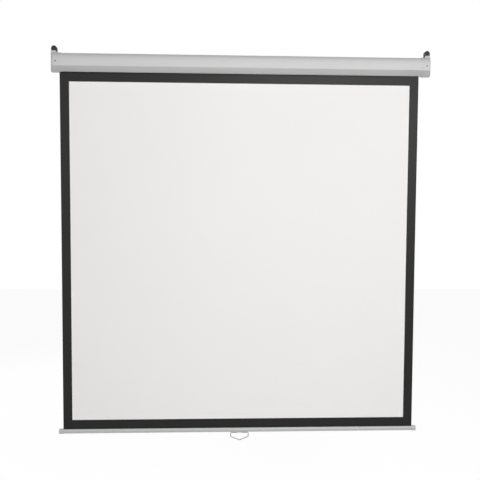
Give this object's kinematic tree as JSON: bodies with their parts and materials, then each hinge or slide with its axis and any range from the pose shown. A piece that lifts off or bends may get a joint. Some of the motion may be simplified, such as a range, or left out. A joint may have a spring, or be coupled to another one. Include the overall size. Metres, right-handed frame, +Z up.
{
  "type": "projection screen",
  "caption": "Pull-down wall projection screen: spring roller with pawl stop in a slim case, white fabric with a dark border, weighted bottom bar and wire pull handle.",
  "frame": {"origin": "midway between the two hanger holes, in the wall plane", "axes": "+X along the case to the viewer's right, +Y into the wall, +Z up; the picture faces -Y"},
  "size_m": [1.692, 0.0754, 1.7827],
  "materials": {
    "case_paint": "satin paint",
    "cap_plastic": "moulded satin",
    "hanger_plastic": "moulded dark",
    "screw_steel": "zinc plated",
    "plate_steel": "zinc plated sheet",
    "roller_steel": "seamed tube",
    "spring_steel": "oiled wire",
    "shaft_steel": "drawn rod",
    "plug_plastic": "moulded",
    "bush_plastic": "nylon",
    "ratchet_steel": "sintered",
    "screen_cloth": "matt white, dark border and backing",
    "keder_plastic": "extruded",
    "bar_aluminium": "satin anodised",
    "bar_cap_plastic": "moulded satin",
    "clip_steel": "zinc plated strip",
    "handle_wire": "plated wire"
  },
  "bodies": {
    "case": {"case_shell": "case_paint", "left_end_cap": "cap_plastic", "right_end_cap": "cap_plastic", "left_hanger": "hanger_plastic", "right_hanger": "hanger_plastic", "left_bearing_plate": "plate_steel", "right_bearing_plate": "plate_steel", "end_cap_screws": "screw_steel", "hanger_screws": "screw_steel", "idle_bush": "bush_plastic", "spring_shaft": "shaft_steel", "cotter_pin": "screw_steel", "ratchet_wheel": "ratchet_steel", "fixed_spring_anchor": "plug_plastic", "winding_spring": "spring_steel"},
    "roller": {"roller_tube": "roller_steel", "fabric_wrap": "screen_cloth", "idle_plug": "plug_plastic", "idle_pin": "shaft_steel", "spring_end_cap": "plug_plastic", "spring_end_bush": "bush_plastic", "moving_spring_anchor": "plug_plastic", "pawl_pins": "shaft_steel"},
    "upper_pawl": {"upper_pawl": "ratchet_steel"},
    "lower_pawl": {"lower_pawl": "ratchet_steel"},
    "drop": {"screen_fabric": "screen_cloth", "fabric_keder": "keder_plastic", "bottom_bar": "bar_aluminium", "left_bar_cap": "bar_cap_plastic", "right_bar_cap": "bar_cap_plastic", "left_handle_clip": "clip_steel", "right_handle_clip": "clip_steel", "clip_rivets": "screw_steel"},
    "handle": {"pull_handle": "handle_wire"}
  },
  "joints": [
    {"name": "screen_drop", "type": "slide", "parent": "case", "child": "drop", "axis": [0, 0, 1], "range_m": [0, 1.58965], "deforming": ["screen_fabric"]},
    {"name": "roller_spin", "type": "hinge", "parent": "case", "child": "roller", "pos_m": [0, -0.0447, -0.06151], "axis": [1, 0, 0], "range_deg": [-2, 3964]},
    {"name": "upper_pawl_swing", "type": "hinge", "parent": "roller", "child": "upper_pawl", "pos_m": [0.8038, -0.03794, -0.047], "axis": [1, 0, 0], "range_deg": [0, 16]},
    {"name": "lower_pawl_swing", "type": "hinge", "parent": "roller", "child": "lower_pawl", "pos_m": [0.8038, -0.05146, -0.07601], "axis": [1, 0, 0], "range_deg": [0, 16]},
    {"name": "handle_swing", "type": "hinge", "parent": "drop", "child": "handle", "pos_m": [-0.007, -0.0242, -1.73251], "axis": [1, 0, 0], "range_deg": [-85, 85]}
  ],
  "couplings": [
    {"joint": "roller_spin", "follows": "screen_drop", "rad_per_m": 43.478}
  ]
}
